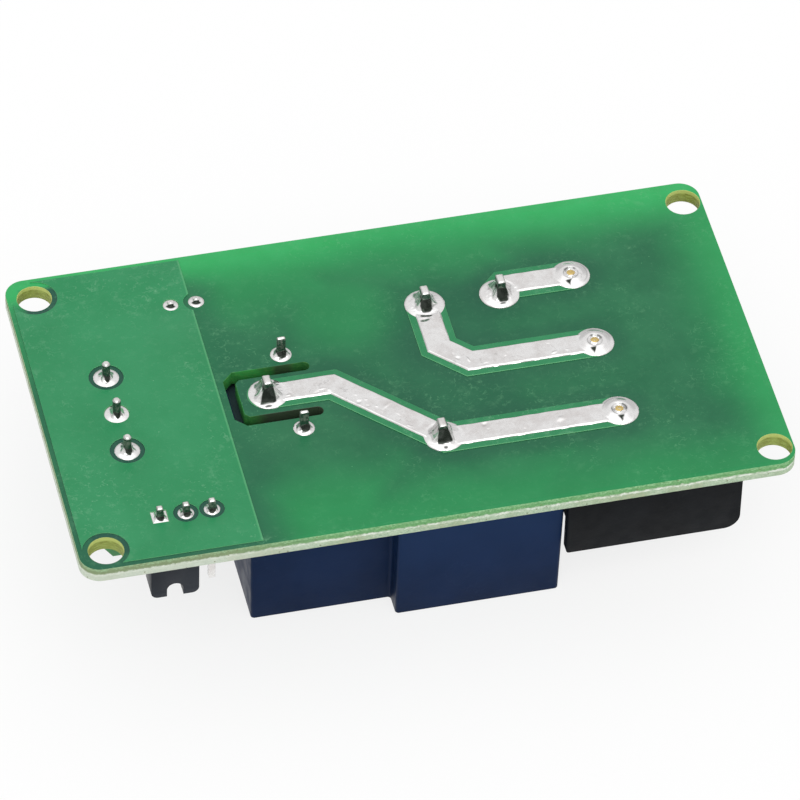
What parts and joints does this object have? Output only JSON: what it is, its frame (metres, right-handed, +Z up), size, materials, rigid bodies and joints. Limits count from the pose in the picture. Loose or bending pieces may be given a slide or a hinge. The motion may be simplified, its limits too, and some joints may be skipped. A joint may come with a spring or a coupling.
{
  "type": "relay module board",
  "caption": "Power relay module on a green circuit board: screw terminals, jumper and lamp below, tinned tracks and solder joints above.",
  "frame": {"origin": "below the board's centre, on the surface that the relay's flat top rests on", "axes": "+X along the board from the input end to the output end, +Y across it, +Z up, out of the solder side"},
  "size_m": [0.0702, 0.0396, 0.0217],
  "materials": {
    "laminate": "green solder mask over pale glass-epoxy laminate",
    "solder_mask": "green solder mask over copper, satin",
    "solder": "bright tin solder with ripples",
    "tinned_pin": "tinned brass or copper",
    "brass": "bare brass",
    "plated_steel": "zinc-plated steel",
    "blue_plastic": "dark blue moulded plastic, satin",
    "dark_plastic": "dark moulded resin",
    "black_plastic": "black moulded plastic, satin",
    "green_plastic": "green moulded plastic",
    "pale_plastic": "white moulded resin",
    "red_lens": "tinted epoxy lens",
    "clear_lens": "milky clear lens"
  },
  "bodies": {
    "root": {"circuit_board": "laminate", "ground_pour": "solder_mask", "track_open": "solder_mask", "track_closed": "solder_mask", "track_common": "solder_mask", "solder_open": "solder", "solder_closed": "solder", "solder_common": "solder", "solder_coil": "solder", "solder_input": "solder", "solder_header": "solder", "solder_led": "solder", "relay_case": "blue_plastic", "relay_base": "dark_plastic", "relay_pin_coil_a": "tinned_pin", "relay_pin_coil_b": "tinned_pin", "relay_pin_common_a": "tinned_pin", "relay_pin_common_b": "tinned_pin", "relay_pin_closed": "tinned_pin", "relay_pin_open": "tinned_pin", "output_housing": "black_plastic", "input_housing": "green_plastic", "header_base": "black_plastic", "jumper_cap": "black_plastic", "jumper_clip": "brass", "led_lens": "red_lens", "led_lead_1": "tinned_pin", "led_lead_2": "tinned_pin", "coupler_body": "pale_plastic", "coupler_leads": "tinned_pin", "transistor_body": "dark_plastic", "transistor_leads": "tinned_pin", "diode_body": "dark_plastic", "diode_leads": "tinned_pin", "resistor_bodies": "dark_plastic", "resistor_caps": "tinned_pin", "power_lamp": "clear_lens", "output_contact_1": "brass", "output_clamp_1": "plated_steel", "output_screw_1": "plated_steel", "input_cage_1": "plated_steel", "input_contact_1": "tinned_pin", "input_screw_1": "plated_steel", "header_pin_1": "tinned_pin", "output_contact_2": "brass", "output_clamp_2": "plated_steel", "output_screw_2": "plated_steel", "input_cage_2": "plated_steel", "input_contact_2": "tinned_pin", "input_screw_2": "plated_steel", "header_pin_2": "tinned_pin", "output_contact_3": "brass", "output_clamp_3": "plated_steel", "output_screw_3": "plated_steel", "input_cage_3": "plated_steel", "input_contact_3": "tinned_pin", "input_screw_3": "plated_steel", "header_pin_3": "tinned_pin"}
  },
  "joints": []
}
